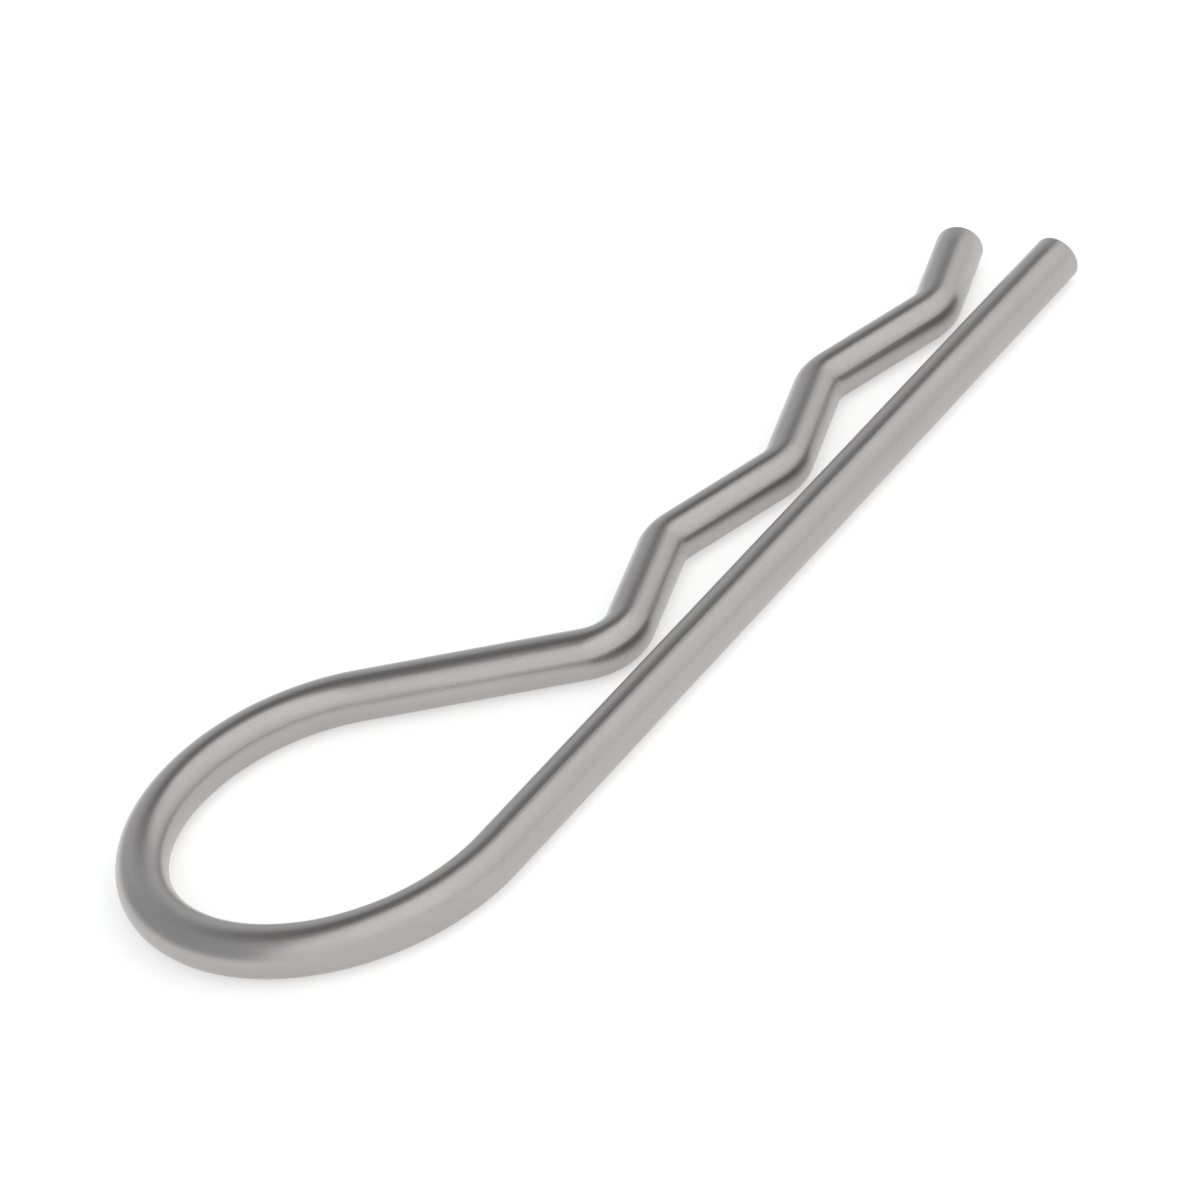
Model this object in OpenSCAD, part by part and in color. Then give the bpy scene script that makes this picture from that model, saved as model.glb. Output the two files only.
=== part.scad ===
// Hairpin cotter: one round spring wire bent into a straight leg, a round eye
// and a waved gripping leg. The straight leg goes through the cross hole of a
// shaft, and a crest of the waved leg snaps over the outside of that shaft.
// The clip lies flat: the wire touches z = 0, the eye is centred on the Z axis,
// and both legs run towards +X with the waved leg on the +Y side.

/* [Wire] */
// Diameter of the drawn wire
wire_d = 4.5; // [3:0.1:6]
// Edge break on the sheared ends of the wire
end_break = 0.2; // [0.1:0.05:0.5]

/* [Eye] */
// Inside diameter of the round eye
eye_d = 30; // [22:0.5:38]

/* [Straight leg] */
// Length from the eye's tangent point to the free end
leg_len = 90.3; // [70:0.1:120]

/* [Waved leg] */
// Clear gap between the legs at the troughs
leg_gap = 2.75; // [1:0.05:5]
// Angle between the straight leg and the slanted run from the eye to the first trough
slant_angle = 58.1; // [55.1:3:61.1]
// Number of crests, each a seat for a shaft
crest_count = 2; // [1:1:3]
// Rise of the wire from trough to crest
crest_rise = 4.15; // [2:0.05:6]
// Slope of the flanks between trough and crest, in degrees
flank_slope = 20; // [20:2:22]
// Inside radius of every bend in the waved leg
bend_inside_r = 1.6; // [1:0.1:3]
// Straight length after the last trough, up to the free end
tail_len = 9.6; // [5:0.1:15]

/* [Hidden] */

// Facets of a full turn, for a smooth wire
$fn = 48;

// Colour of the bare drawn steel
steel_colour = "#b0aca8";

// Radii of the wire's centre line
loop_r = (eye_d + wire_d) / 2;
bend_r = bend_inside_r + wire_d / 2;

// Axis of the straight leg, and centre of the first trough's bend
leg_y = -loop_r;
first_bend_y = leg_y + wire_d + leg_gap + bend_r;

// The slanted run leaves the eye and meets the first trough's bend as a tangent
// of both circles, with one centre on either side of it
first_bend_x = (loop_r + bend_r - first_bend_y * cos(slant_angle)) / sin(slant_angle);
slant_len = first_bend_x * cos(slant_angle) - first_bend_y * sin(slant_angle);

// Straight part of a flank, what is left of the rise between its two bends
flank_len = (crest_rise - 2 * bend_r * (1 - cos(flank_slope))) / sin(flank_slope);

// Turns of the wire, seen from above: left is positive
quarter_turn = 90;
first_trough_turn = slant_angle + flank_slope;
crest_turn = -2 * flank_slope;
trough_turn = 2 * flank_slope;

// The legs part evenly about the middle line of the eye
half_slant = slant_angle / 2;

// Sides of a plane across the wire
ahead = 1;
behind = -1;

// Hair by which a straight run overlaps what it meets, so that both join as one solid
overlap_share = 0.000000002;
overlap = overlap_share * wire_d;

// A straight run of wire along +X, and what follows at its far end
module run(len) {
    translate([-overlap, 0, 0])
        rotate([0, quarter_turn, 0])
            cylinder(d = wire_d, h = len + 2 * overlap);
    translate([len, 0, 0])
        children();
}

// A full ring of wire in the plane of the clip
module ring(radius) {
    rotate_extrude()
        translate([radius, 0])
            circle(d = wire_d);
}

// Everything within reach on one side of a plane across the wire
module one_side(reach, way) {
    translate([min(way, 0) * reach, -reach, -wire_d])
        cube([reach, 2 * reach, 2 * wire_d]);
}

// A bend that turns the wire left or right, and what follows at its far end:
// a ring cut square to the wire where the bend starts and where it ends
module bend(radius, turn) {
    side = sign(turn);
    reach = radius + wire_d;
    translate([0, side * radius, 0]) {
        intersection() {
            ring(radius);
            one_side(reach, ahead);
            rotate(turn) one_side(reach, behind);
        }
        rotate(turn)
            translate([0, -side * radius, 0])
                children();
    }
}

// Crest and trough in turn, as many times as there are crests
module waves(count) {
    if (count > 0)
        run(flank_len)
            bend(bend_r, crest_turn)
                run(flank_len)
                    bend(bend_r, trough_turn)
                        waves(count - 1)
                            children();
    else
        children();
}

// The sheared end of the wire, with its edge broken
module sheared_end() {
    rotate([0, quarter_turn, 0])
        cylinder(d1 = wire_d, d2 = wire_d - 2 * end_break, h = end_break);
}

// The ring of the eye, open between the ends that the legs run out of
module eye() {
    reach = loop_r + wire_d;
    difference() {
        rotate(half_slant) ring(loop_r);
        intersection() {
            rotate(half_slant) one_side(reach, ahead);
            rotate(-half_slant) one_side(reach, ahead);
        }
    }
}

// The leg that goes through the shaft, from the eye to its sheared end
module straight_leg() {
    run(leg_len - end_break)
        sheared_end();
}

// The leg that grips the shaft, from the eye to its sheared end
module waved_leg() {
    run(slant_len)
        bend(bend_r, first_trough_turn)
            waves(crest_count)
                run(tail_len - end_break)
                    sheared_end();
}

// The whole clip, turned so that the straight leg runs along X
module hairpin_wire() {
    color(steel_colour)
        translate([0, 0, wire_d / 2])
            rotate(-half_slant) {
                eye();
                rotate(half_slant)
                    translate([0, leg_y, 0])
                        straight_leg();
                rotate(-half_slant)
                    translate([0, loop_r, 0])
                        waved_leg();
            }
}

hairpin_wire();
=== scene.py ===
"""Hairpin cotter: one drawn spring wire, bent into a straight leg, a round eye and a waved leg."""
import math
from collections import namedtuple

import bpy
from bpy.props import FloatProperty, FloatVectorProperty, IntProperty, PointerProperty
from bpy.types import Operator, Panel, PropertyGroup
from mathutils import Matrix, Vector


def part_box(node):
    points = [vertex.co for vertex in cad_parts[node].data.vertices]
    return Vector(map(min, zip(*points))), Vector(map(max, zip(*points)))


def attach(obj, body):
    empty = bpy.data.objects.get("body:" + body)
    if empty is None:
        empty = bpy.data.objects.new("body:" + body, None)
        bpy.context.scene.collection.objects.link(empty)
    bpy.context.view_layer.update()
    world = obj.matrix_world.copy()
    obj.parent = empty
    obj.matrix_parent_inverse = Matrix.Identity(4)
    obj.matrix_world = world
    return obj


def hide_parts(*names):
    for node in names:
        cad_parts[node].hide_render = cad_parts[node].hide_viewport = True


bl_info = {
    "name": "Hairpin cotter",
    "version": (1, 0, 0),
    "blender": (4, 5, 0),
    "location": "View3D > Sidebar > Hairpin",
    "description": "Bends a hairpin cotter from one drawn spring wire and lays it in a small studio",
    "category": "Add Mesh",
}

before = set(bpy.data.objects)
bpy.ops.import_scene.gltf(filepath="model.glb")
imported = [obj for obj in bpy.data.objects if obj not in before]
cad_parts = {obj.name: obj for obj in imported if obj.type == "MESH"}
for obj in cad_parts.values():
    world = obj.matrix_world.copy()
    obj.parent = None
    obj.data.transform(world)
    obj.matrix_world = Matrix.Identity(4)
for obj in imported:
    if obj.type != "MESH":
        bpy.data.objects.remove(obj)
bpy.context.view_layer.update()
CAD_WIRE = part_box("hairpin_wire")
MM = 0.001
QUARTER_TURN = math.pi / 2


# Settings

def linear(hex_colour):
    """The linear red, green and blue of an sRGB hex colour."""
    parts = [int(hex_colour[i:i + 2], 16) / 255 for i in (1, 3, 5)]
    return tuple(c / 12.92 if c <= 0.04045 else ((c + 0.055) / 1.055) ** 2.4 for c in parts)


def colour_property(name, description, hex_colour):
    """A colour in a panel, given as the sRGB hex value that it shows."""
    return FloatVectorProperty(name=name, description=description, subtype="COLOR", size=3,
                               min=0, max=1, default=linear(hex_colour))


def length_property(name, description, metres):
    """A length in a panel, in the scene's unit."""
    return FloatProperty(name=name, description=description, unit="LENGTH", subtype="DISTANCE",
                         min=0, precision=5, default=metres)


def angle_property(name, description, degrees):
    """An angle in a panel."""
    return FloatProperty(name=name, description=description, subtype="ANGLE",
                         default=math.radians(degrees))


class HairpinWire(PropertyGroup):
    """Sizes of the bent wire, the same as the solid's."""
    wire_diameter: length_property("Wire diameter", "Thickness of the drawn wire",
                                   CAD_WIRE[1][2] - CAD_WIRE[0][2])
    eye_diameter: length_property("Eye", "Inside diameter of the round eye", 30 * MM)
    leg_length: length_property("Straight leg", "From the eye's tangent point to the free end",
                                90.3 * MM)
    leg_gap: length_property("Leg gap", "Clear gap between the legs at the troughs", 2.75 * MM)
    slant_angle: angle_property("Slant", "Angle between the straight leg and the slanted run", 58.1)
    crest_count: IntProperty(name="Crests", description="Number of crests on the waved leg",
                             min=1, max=3, default=2)
    crest_rise: length_property("Crest rise", "Rise of the wire from trough to crest", 4.15 * MM)
    flank_slope: angle_property("Flank slope", "Slope of the flanks between trough and crest", 20)
    bend_inside_radius: length_property("Bend radius", "Inside radius of the bends in the waved leg",
                                        1.6 * MM)
    tail_length: length_property("Tail", "Straight length after the last trough", 9.6 * MM)
    end_break: length_property("End break", "Edge break on the sheared ends", 0.2 * MM)


class DrawnSteel(PropertyGroup):
    """Look of the bare drawn spring steel."""
    colour: colour_property("Steel", "Colour of the drawn skin", "#aaa6a3")
    worn_colour: colour_property("Burnished steel", "Colour where the skin is burnished", "#b4b0ad")
    sheared_colour: colour_property("Sheared steel", "Colour of the torn metal on the ends", "#a09d9a")
    line_spacing: length_property("Die lines", "Spacing of the lines that the die leaves", 0.22 * MM)
    line_length: length_property("Die line length", "Length over which one die line fades", 30 * MM)
    mottle_size: length_property("Mottle", "Width of the paler and darker patches in the skin",
                                 1.6 * MM)
    skin_grain: length_property("Skin grain", "Size of the fine grains in the satin skin", 0.14 * MM)
    burnish_height: length_property("Burnished part", "Height above the wire's axis down to which "
                                    "the shear has burnished an end", 0.6 * MM)
    tear_grain: length_property("Tear grain", "Size of the grains in the torn part of an end",
                                0.18 * MM)


class Studio(PropertyGroup):
    """The pale sheet that the clip lies on, and the light round it."""
    sheet_size: length_property("Sheet", "Length of the square sheet's side", 30.0)
    sheet_colour: colour_property("Sheet colour", "Colour of the matt sheet", "#e0e0e0")
    sheet_glow: FloatProperty(name="Sheet glow", description="White that the sheet gives off by itself",
                              subtype="FACTOR", min=0, max=1, default=0.46)
    light_colour: colour_property("Light side", "Colour of the dome's light side, high up", "#ffffff")
    light_foot_colour: colour_property("Light side's foot", "Colour of the light side near the sheet",
                                       "#dfdfdf")
    far_right_colour: colour_property("Far side, right", "Colour of the far side behind the free ends",
                                      "#c7cace")
    far_left_colour: colour_property("Far side, left", "Colour of the far side behind the eye",
                                     "#a9acb0")
    gap_colour: colour_property("Gap", "Colour of the dark gap at the top of the far side", "#5e5c5c")
    dome_strength: FloatProperty(name="Dome strength", description="Strength of the dome's light",
                                 min=0, default=1.276)


# The route of the wire

# One straight run or one bend: where the centre line starts, its heading there, its length, the
# distance gone before it, and for a bend its centre, its radius and its turn, left being positive.
Stretch = namedtuple("Stretch", "start heading length gone centre radius turn")

# Weight of a miss past a stretch's end against one beside it, so that a point finds its own stretch
PAST_END_WEIGHT = 10


def wire_route(sizes):
    """The stretches of the centre line, from the straight leg's free end to the waved leg's."""
    half_wire = sizes.wire_diameter / 2
    loop_r = sizes.eye_diameter / 2 + half_wire
    bend_r = sizes.bend_inside_radius + half_wire
    slant, slope = sizes.slant_angle, sizes.flank_slope
    bend_y = -loop_r + sizes.wire_diameter + sizes.leg_gap + bend_r
    bend_x = (loop_r + bend_r - bend_y * math.cos(slant)) / math.sin(slant)
    slant_length = bend_x * math.cos(slant) - bend_y * math.sin(slant)
    flank = (sizes.crest_rise - 2 * bend_r * (1 - math.cos(slope))) / math.sin(slope)
    if slant_length <= 0 or flank <= 0:
        raise RuntimeError("These sizes leave no straight wire between the bends")

    # Each move is a run's length, or a bend's radius and turn
    moves = [(sizes.leg_length, 0, 0), (0, loop_r, -math.pi - slant), (slant_length, 0, 0),
             (0, bend_r, slant + slope)]
    for _ in range(sizes.crest_count):
        moves += [(flank, 0, 0), (0, bend_r, -2 * slope), (flank, 0, 0), (0, bend_r, 2 * slope)]
    moves.append((sizes.tail_length, 0, 0))

    route, gone, heading = [], 0.0, math.pi
    place = Vector((sizes.leg_length, -loop_r, half_wire))
    for run, radius, turn in moves:
        ahead = Vector((math.cos(heading), math.sin(heading), 0))
        if radius:
            left = Vector((-ahead.y, ahead.x, 0))
            centre = place + left * math.copysign(radius, turn)
            length = radius * abs(turn)
            after = centre + Matrix.Rotation(turn, 3, "Z") @ (place - centre)
        else:
            centre, length, after = None, run, place + ahead * run
        route.append(Stretch(place, heading, length, gone, centre, radius, turn))
        place, gone, heading = after, gone + length, heading + turn
    return route


def place_on_straight_wire(point, route):
    """Where a point of the bent wire lay before bending: along it, across it and up from its axis."""
    best = None
    for stretch in route:
        ahead = Vector((math.cos(stretch.heading), math.sin(stretch.heading), 0))
        away = point - stretch.start
        if stretch.radius:
            side = math.copysign(1, stretch.turn)
            arm = point - stretch.centre
            first = stretch.start - stretch.centre
            turned = side * math.atan2(first.x * arm.y - first.y * arm.x,
                                       first.x * arm.x + first.y * arm.y)
            middle = abs(stretch.turn) / 2
            turned = middle + (turned - middle + math.pi) % (2 * math.pi) - math.pi
            past = max(-turned, turned - abs(stretch.turn), 0) * stretch.radius
            along = min(max(turned, 0), abs(stretch.turn)) * stretch.radius
            across = side * (stretch.radius - arm.to_2d().length)
        else:
            along = away.dot(ahead)
            past = max(-along, along - stretch.length, 0)
            along = min(max(along, 0), stretch.length)
            across = ahead.x * away.y - ahead.y * away.x
        miss = past * PAST_END_WEIGHT + math.hypot(across, away.z)
        if best is None or miss < best[0]:
            best = (miss, Vector((stretch.gone + along, across, away.z)))
    return best[1]


# Materials

# Sockets of a Mix node that share their names, by number
VALUE_A, VALUE_B = 2, 3
COLOUR_A, COLOUR_B, MIXED_COLOUR = 6, 7, 2

# Height in the steel's fine relief that the range of one pattern stands for, at full strength
RELIEF_HEIGHT = 0.1 * MM

# The border on a sheared end: the height over which it wanders, and how far below and above it
# the torn part turns into the burnished one
BORDER_WANDER = 1.2 * MM
BORDER_BELOW, BORDER_ABOVE = 0.1 * MM, 0.15 * MM

# Depth of the scores on the burnished part, as a share of the depth of the torn part's grains
SCORE_DEPTH = 0.25


def empty_tree(owner):
    """The node tree of a material or a world, with nothing in it yet."""
    owner.use_nodes = True
    owner.node_tree.nodes.clear()
    return owner.node_tree


def add_node(tree, kind, inputs=(), **settings):
    """Add a node with its settings; an input takes a value or another node's output."""
    node = tree.nodes.new(kind)
    for name, value in settings.items():
        setattr(node, name, value)
    for socket, value in dict(inputs).items():
        if isinstance(value, bpy.types.NodeSocket):
            tree.links.new(value, node.inputs[socket])
        else:
            node.inputs[socket].default_value = value
    return node


def finish_steel(tree, colour, roughness, skin, relief):
    """Give a steel its colour and roughness, and the height of its skin as relief."""
    bump = add_node(tree, "ShaderNodeBump", {
        "Height": skin, "Strength": relief, "Distance": RELIEF_HEIGHT})
    steel = add_node(tree, "ShaderNodeBsdfPrincipled", {
        "Base Color": colour, "Metallic": 1, "Roughness": roughness, "Normal": bump.outputs[0]})
    add_node(tree, "ShaderNodeOutputMaterial", {"Surface": steel.outputs[0]})


def drawn_spring_steel(look):
    """Hard spring steel, cold drawn through a die and left bare with a satin skin."""
    # To the eye: a wide soft sheen along the wire with a fine satin grain, faint lines in the drawing
    # direction, and a skin that is patchily a little brighter where the die has burnished it.
    material = bpy.data.materials.new("cold_drawn_spring_steel")
    tree = empty_tree(material)
    place = add_node(tree, "ShaderNodeAttribute", attribute_name="on_straight_wire").outputs["Vector"]

    # Each pattern's size along the wire and across it, its detail and its roughness
    patterns = []
    for along, across, detail, roughness in (
            # Die lines: real ones lie about 0.02 mm apart, drawn here as coarse as they need to show
            (look.line_length, look.line_spacing, 3, 0.6),
            # Paler and darker patches, stretched fourfold by the drawing
            (look.mottle_size * 4, look.mottle_size, 4, 0.55),
            # Satin grain: the pits of pickling, a few hundredths of a millimetre wide, drawn coarser
            (look.skin_grain, look.skin_grain, 2, 0.6)):
        scaled = add_node(tree, "ShaderNodeMapping", {
            "Vector": place, "Scale": (1 / along, 1 / across, 1 / across)})
        noise = add_node(tree, "ShaderNodeTexNoise", {
            "Vector": scaled.outputs[0], "Scale": 1, "Detail": detail, "Roughness": roughness})
        patterns.append(noise.outputs["Fac"])
    lines, mottle, grain = patterns

    mixed = add_node(tree, "ShaderNodeMath", {0: lines, 1: mottle, 2: grain}, operation="MULTIPLY_ADD")
    burnished = add_node(tree, "ShaderNodeMapRange", {
        "Value": mixed.outputs[0], "From Min": 0.5, "From Max": 1})
    colour = add_node(tree, "ShaderNodeMix", {
        "Factor": burnished.outputs[0], COLOUR_A: (*look.colour, 1), COLOUR_B: (*look.worn_colour, 1)},
        data_type="RGBA")
    rough = add_node(tree, "ShaderNodeMapRange", {
        "Value": mottle, "From Min": 0.3, "From Max": 0.7, "To Min": 0.31, "To Max": 0.27})
    skin = add_node(tree, "ShaderNodeMath", {0: lines, 1: grain}, operation="ADD")
    finish_steel(tree, colour.outputs[MIXED_COLOUR], rough.outputs[0], skin.outputs[0], relief=0.15)
    return material


def sheared_spring_steel(look):
    """The same steel where it was cropped: burnished where the shear went in, torn matt below."""
    # To the eye: a smooth band with fine upright scores on top, and under a ragged border a dull
    # grainy break.
    material = bpy.data.materials.new("sheared_spring_steel")
    tree = empty_tree(material)
    place = add_node(tree, "ShaderNodeAttribute", attribute_name="on_straight_wire").outputs["Vector"]

    # Each pattern's size across the end and upwards, its detail and its roughness
    patterns = []
    for across, upwards, detail, roughness in (
            # Grains of the break
            (look.tear_grain, look.tear_grain, 4, 0.65),
            # Scores, as fine as the grains and drawn out upwards
            (look.tear_grain, look.tear_grain * 20, 2, 0.5),
            # Teeth of the ragged border, about five grains wide
            (look.tear_grain * 5, look.tear_grain * 5, 3, 0.5)):
        scaled = add_node(tree, "ShaderNodeMapping", {
            "Vector": place, "Scale": (1 / across, 1 / across, 1 / upwards)})
        noise = add_node(tree, "ShaderNodeTexNoise", {
            "Vector": scaled.outputs[0], "Scale": 1, "Detail": detail, "Roughness": roughness})
        patterns.append(noise.outputs["Fac"])
    grain, scores, ragged = patterns

    height = add_node(tree, "ShaderNodeSeparateXYZ", {"Vector": place}).outputs["Z"]
    height = add_node(tree, "ShaderNodeMath", {0: ragged, 1: BORDER_WANDER, 2: height},
                      operation="MULTIPLY_ADD")
    border = look.burnish_height + BORDER_WANDER / 2
    torn = add_node(tree, "ShaderNodeMapRange", {
        "Value": height.outputs[0], "From Min": border - BORDER_BELOW,
        "From Max": border + BORDER_ABOVE, "To Min": 1, "To Max": 0}).outputs[0]

    colour = add_node(tree, "ShaderNodeMix", {
        "Factor": torn, COLOUR_A: (*look.worn_colour, 1), COLOUR_B: (*look.sheared_colour, 1)},
        data_type="RGBA")
    rough = add_node(tree, "ShaderNodeMapRange", {"Value": torn, "To Min": 0.28, "To Max": 0.55})
    shallow = add_node(tree, "ShaderNodeMath", {0: scores, 1: SCORE_DEPTH}, operation="MULTIPLY")
    skin = add_node(tree, "ShaderNodeMix", {
        "Factor": torn, VALUE_A: shallow.outputs[0], VALUE_B: grain})
    finish_steel(tree, colour.outputs[MIXED_COLOUR], rough.outputs[0], skin.outputs[0], relief=0.5)
    return material


def matt_studio_sheet(look):
    """Plain matt paper, seen as white where no shadow falls on it."""
    # To the eye, straight on and in the steel: white, with only the clip's soft shadow on it.
    material = bpy.data.materials.new("matt_studio_sheet")
    tree = empty_tree(material)
    ray = add_node(tree, "ShaderNodeLightPath").outputs
    seen = ray["Is Camera Ray"]
    for other in ("Is Glossy Ray", "Is Transmission Ray"):
        seen = add_node(tree, "ShaderNodeMath", {0: seen, 1: ray[other]}, operation="MAXIMUM").outputs[0]
    glow = add_node(tree, "ShaderNodeMath", {0: seen, 1: look.sheet_glow}, operation="MULTIPLY")
    paper = add_node(tree, "ShaderNodeBsdfPrincipled", {
        "Base Color": (*look.sheet_colour, 1), "Roughness": 1, "Specular IOR Level": 0,
        "Emission Color": (1, 1, 1, 1), "Emission Strength": glow.outputs[0]})
    add_node(tree, "ShaderNodeOutputMaterial", {"Surface": paper.outputs[0]})
    return material


# Pieces

class HAIRPIN_OT_bend_wire(Operator):
    """Bend the clip from one round wire, starting at the free end of the straight leg"""
    bl_idname = "hairpin.bend_wire"
    bl_label = "Bend the wire"

    # Fineness of the mesh: sides of the round wire, longest step of a run, widest step of a bend
    RING_SIDES = 64
    RUN_STEP = 3 * MM
    BEND_STEP = math.radians(2.5)

    # Corners nearer than this are one corner
    MERGE_WITHIN = 0.001 * MM

    # Steps across a broken edge; the flat rim inside it is one step wide
    BREAK_STEPS = 3

    # Faces that meet at less than this are shaded as one round skin
    SMOOTH_BELOW = math.radians(35)

    # The skin's flat map: its rows, their pitch in girths of the wire, and the share of a row's
    # length that stays free on either side
    MAP_ROWS = 4
    ROW_PITCH = 1.04
    ROW_MARGIN = 0.03

    # The two ends in that map, in radii of the wire: the middle of each from the map's left side,
    # and the room from the rows up to both middles
    NEAR_END_MIDDLE, FAR_END_MIDDLE = 1.5, 4
    END_ROOM = 1.1

    def execute(self, context):
        sizes, look = context.scene.hairpin_wire, context.scene.hairpin_steel
        radius = sizes.wire_diameter / 2
        route = wire_route(sizes)
        wire = self.draw_out(context, route, radius)
        self.finish_ends(wire, sizes.end_break, look)
        bpy.ops.object.shade_smooth_by_angle(angle=self.SMOOTH_BELOW)

        places = [place_on_straight_wire(corner.co, route) for corner in wire.data.vertices]
        kept = wire.data.attributes.new("on_straight_wire", "FLOAT_VECTOR", "POINT")
        for value, place in zip(kept.data, places):
            value.vector = place
        self.unroll(wire.data, places, radius, route[-1].gone + route[-1].length)

        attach(wire, "root")
        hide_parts("hairpin_wire")
        return {"FINISHED"}

    def draw_out(self, context, route, radius):
        """Stand the round section across the straight leg's free end and draw it along the route."""
        bpy.ops.object.select_all(action="DESELECT")
        bpy.ops.mesh.primitive_circle_add(vertices=self.RING_SIDES, radius=radius,
                                          location=route[0].start, rotation=(0, QUARTER_TURN, 0),
                                          calc_uvs=False)
        wire = context.object
        wire.name = wire.data.name = "bent_spring_wire"
        bpy.ops.object.transform_apply(location=True, rotation=True, scale=True)

        bpy.ops.object.mode_set(mode="EDIT")
        bpy.ops.mesh.select_all(action="SELECT")
        for stretch in route:
            if stretch.radius:
                steps = math.ceil(abs(stretch.turn) / self.BEND_STEP)
                bpy.ops.mesh.spin(steps=steps, angle=-stretch.turn, center=stretch.centre,
                                  axis=(0, 0, 1), use_auto_merge=False)
            else:
                steps = math.ceil(stretch.length / self.RUN_STEP)
                step = stretch.length / steps
                move = (step * math.cos(stretch.heading), step * math.sin(stretch.heading), 0)
                for _ in range(steps):
                    bpy.ops.mesh.extrude_region_move(TRANSFORM_OT_translate={"value": move})
        bpy.ops.mesh.select_all(action="SELECT")
        bpy.ops.mesh.remove_doubles(threshold=self.MERGE_WITHIN)
        return wire

    def finish_ends(self, wire, end_break, look):
        """Close both ends, break their edges and give skin and ends their steel."""
        bpy.ops.mesh.fill_holes(sides=0)
        bpy.ops.mesh.select_all(action="SELECT")
        bpy.ops.mesh.normals_make_consistent(inside=False)
        self.select_ends(wire)
        bpy.ops.mesh.region_to_loop()
        bpy.ops.mesh.bevel(offset=end_break, segments=self.BREAK_STEPS, affect="EDGES")
        drawn, sheared = drawn_spring_steel(look), sheared_spring_steel(look)
        for steel in (drawn, sheared):
            wire.data.materials.append(steel)
        self.select_ends(wire)
        wire.active_material_index = wire.data.materials.find(sheared.name)
        bpy.ops.object.material_slot_assign()

        # A narrow flat rim keeps the end's shading flat
        bpy.ops.mesh.inset(thickness=end_break / self.BREAK_STEPS, depth=0)
        bpy.ops.object.mode_set(mode="OBJECT")

    def select_ends(self, wire):
        """Select the flat face on either end, the only faces with a full ring of sides."""
        bpy.ops.mesh.select_mode(type="FACE")
        bpy.ops.mesh.select_all(action="DESELECT")
        bpy.ops.object.mode_set(mode="OBJECT")
        for face in wire.data.polygons:
            face.select = len(face.vertices) == self.RING_SIDES
        bpy.ops.object.mode_set(mode="EDIT")

    def unroll(self, mesh, places, radius, length):
        """A UV map of the skin, slit along the underside and laid in rows, with the ends above."""
        row_length = length / self.MAP_ROWS
        row_height = 2 * math.pi * radius * self.ROW_PITCH
        margin = row_length * self.ROW_MARGIN
        rows_top = row_height * self.MAP_ROWS
        room = radius * self.END_ROOM
        size = max(row_length + 2 * margin, rows_top + 2 * room)
        flat = mesh.uv_layers.new(name="OFBake").uv
        for face in mesh.polygons:
            corners = [places[i] for i in face.vertices]
            middle = sum(corners, Vector()) / len(corners)
            row = min(int(middle.x / row_length), self.MAP_ROWS - 1)
            far_end = middle.x > length / 2
            aim = math.atan2(middle.y, middle.z)
            for loop, place in zip(face.loop_indices, corners):
                # Only the ends carry the second steel
                if face.material_index:
                    u = radius * (self.FAR_END_MIDDLE if far_end else self.NEAR_END_MIDDLE) + place.y
                    v = rows_top + room + place.z
                else:
                    turn = (math.atan2(place.y, place.z) - aim + math.pi) % (2 * math.pi) - math.pi
                    broken = radius - math.hypot(place.y, place.z)
                    u = margin + place.x - row_length * row + (broken if far_end else -broken)
                    v = (aim + turn + math.pi) * radius + row_height * row
                flat[loop].vector = (u / size, v / size)


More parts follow.
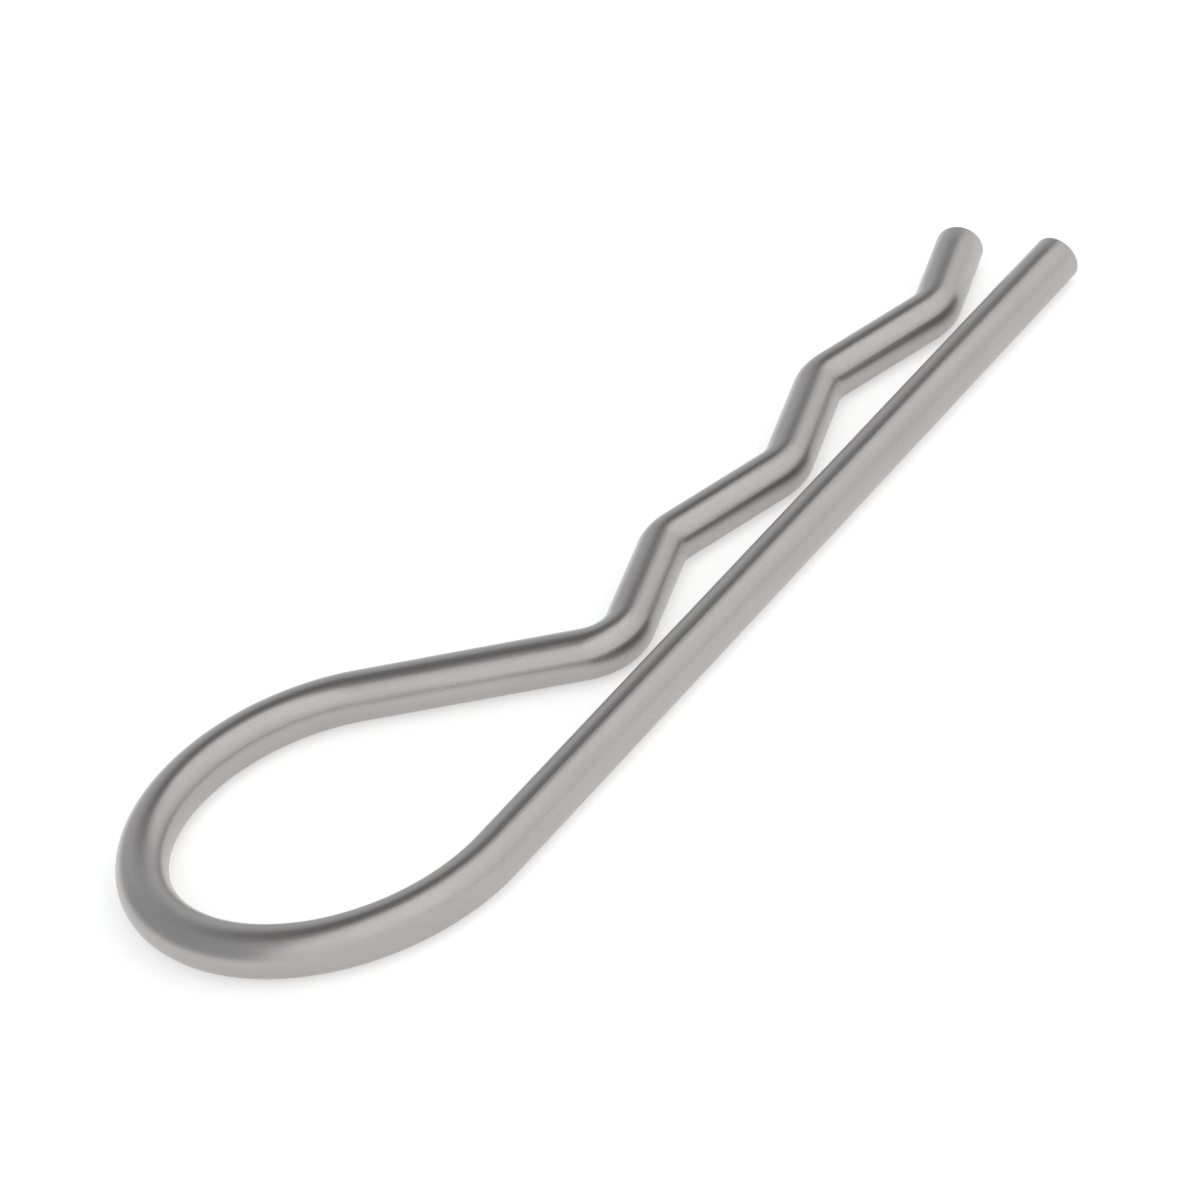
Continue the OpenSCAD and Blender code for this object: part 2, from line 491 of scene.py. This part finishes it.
class HAIRPIN_OT_set_studio(Operator):
    """Lay out the pale sheet, the soft dome of light and the camera"""
    bl_idname = "hairpin.set_studio"
    bl_label = "Set the studio"

    # What the camera looks at and how far away it is, then its angle round the clip from +X, its
    # angle above the sheet and its turn about its own axis
    CAMERA_AIM = Vector((32.49, -4.69, 2.25)) * MM
    CAMERA_DISTANCE = 422.39 * MM
    CAMERA_AZIMUTH = math.radians(225.79)
    CAMERA_ELEVATION = math.radians(32.87)
    CAMERA_ROLL = math.radians(-18.135)
    LENS = 145.14
    SENSOR = 36

    # Directions in the dome: towards its dark gap, and across the far side to the left
    TO_GAP = (0.35, 0.0, 0.94)
    TO_LEFT = (-0.963, 0.0, 0.27)

    # Where the dome changes, in shares of a direction of length 1: from the light side's foot to
    # its bright part, from the light side to the far side, into the gap, and from right to left
    FOOT_TO_BRIGHT = (0, 0.88)
    LIGHT_TO_FAR = (-0.02, 0.18)
    INTO_GAP = (0.64, 0.95)
    RIGHT_TO_LEFT = (-0.36, 0.15)

    # Loss of the dome's strength from the middle to the right, and its gain to the left
    FALL_TO_RIGHT = 0.068

    def execute(self, context):
        look = context.scene.hairpin_studio
        bpy.ops.object.select_all(action="DESELECT")
        bpy.ops.mesh.primitive_plane_add(size=look.sheet_size)
        sheet = context.object
        sheet.name = sheet.data.name = "studio_sheet"
        sheet.data.materials.append(matt_studio_sheet(look))

        turned = (Matrix.Rotation(self.CAMERA_AZIMUTH + QUARTER_TURN, 3, "Z")
                  @ Matrix.Rotation(QUARTER_TURN - self.CAMERA_ELEVATION, 3, "X")
                  @ Matrix.Rotation(self.CAMERA_ROLL, 3, "Z"))
        place = self.CAMERA_AIM + turned.col[2] * self.CAMERA_DISTANCE
        bpy.ops.object.camera_add(location=place, rotation=turned.to_euler())
        camera = context.object
        camera.name = camera.data.name = "studio_camera"
        camera.data.sensor_width = self.SENSOR
        camera.data.lens = self.LENS
        context.scene.camera = camera
        context.scene.view_settings.view_transform = "Standard"

        self.light_dome(context.scene, look)
        return {"FINISHED"}

    def light_dome(self, scene, look):
        """Soft light from all round: a light side, and a far side with a dark gap at its top."""
        # The far side is dimmer to the left, and the whole dome a little dimmer to the right
        scene.world = bpy.data.worlds.new("studio_dome")
        tree = empty_tree(scene.world)
        way = add_node(tree, "ShaderNodeTexCoord").outputs["Generated"]
        parts = add_node(tree, "ShaderNodeSeparateXYZ", {"Vector": way}).outputs
        gap = add_node(tree, "ShaderNodeVectorMath", {0: way, 1: self.TO_GAP}, operation="DOT_PRODUCT")
        left = add_node(tree, "ShaderNodeVectorMath", {0: way, 1: self.TO_LEFT}, operation="DOT_PRODUCT")

        shares = []
        for part, (start, end), blend in (
                (parts["Z"], self.FOOT_TO_BRIGHT, "LINEAR"),
                (parts["Y"], self.LIGHT_TO_FAR, "SMOOTHSTEP"),
                (gap.outputs["Value"], self.INTO_GAP, "SMOOTHSTEP"),
                (left.outputs["Value"], self.RIGHT_TO_LEFT, "LINEAR")):
            share = add_node(tree, "ShaderNodeMapRange", {
                "Value": part, "From Min": start, "From Max": end}, interpolation_type=blend)
            shares.append(share.outputs[0])
        bright, far, gap, left = shares

        light_side = add_node(tree, "ShaderNodeMix", {
            "Factor": bright, COLOUR_A: (*look.light_foot_colour, 1),
            COLOUR_B: (*look.light_colour, 1)}, data_type="RGBA")
        far_side = add_node(tree, "ShaderNodeMix", {
            "Factor": left, COLOUR_A: (*look.far_right_colour, 1),
            COLOUR_B: (*look.far_left_colour, 1)}, data_type="RGBA")
        far_side = add_node(tree, "ShaderNodeMix", {
            "Factor": gap, COLOUR_A: far_side.outputs[MIXED_COLOUR],
            COLOUR_B: (*look.gap_colour, 1)}, data_type="RGBA")
        dome = add_node(tree, "ShaderNodeMix", {
            "Factor": far, COLOUR_A: light_side.outputs[MIXED_COLOUR],
            COLOUR_B: far_side.outputs[MIXED_COLOUR]}, data_type="RGBA")
        strength = add_node(tree, "ShaderNodeMath", {
            0: parts["X"], 1: -self.FALL_TO_RIGHT, 2: look.dome_strength}, operation="MULTIPLY_ADD")
        light = add_node(tree, "ShaderNodeBackground", {
            "Color": dome.outputs[MIXED_COLOUR], "Strength": strength.outputs[0]})
        add_node(tree, "ShaderNodeOutputWorld", {"Surface": light.outputs[0]})


class VIEW3D_PT_hairpin(Panel):
    """Sizes, looks and steps of the hairpin cotter"""
    bl_label = "Hairpin cotter"
    bl_space_type = "VIEW_3D"
    bl_region_type = "UI"
    bl_category = "Hairpin"

    def draw(self, context):
        for settings, step in ((context.scene.hairpin_wire, HAIRPIN_OT_bend_wire),
                               (context.scene.hairpin_steel, None),
                               (context.scene.hairpin_studio, HAIRPIN_OT_set_studio)):
            column = self.layout.column(align=True)
            for name in settings.bl_rna.properties.keys():
                if name not in ("rna_type", "name"):
                    column.prop(settings, name)
            if step:
                column.operator(step.bl_idname)


CLASSES = (HairpinWire, DrawnSteel, Studio, HAIRPIN_OT_bend_wire, HAIRPIN_OT_set_studio,
           VIEW3D_PT_hairpin)


def register():
    for cls in CLASSES:
        bpy.utils.register_class(cls)
    bpy.types.Scene.hairpin_wire = PointerProperty(type=HairpinWire)
    bpy.types.Scene.hairpin_steel = PointerProperty(type=DrawnSteel)
    bpy.types.Scene.hairpin_studio = PointerProperty(type=Studio)


def unregister():
    del bpy.types.Scene.hairpin_studio
    del bpy.types.Scene.hairpin_steel
    del bpy.types.Scene.hairpin_wire
    for cls in reversed(CLASSES):
        bpy.utils.unregister_class(cls)


def main():
    register()
    bpy.ops.hairpin.bend_wire()
    bpy.ops.hairpin.set_studio()


if __name__ == "__main__":
    main()
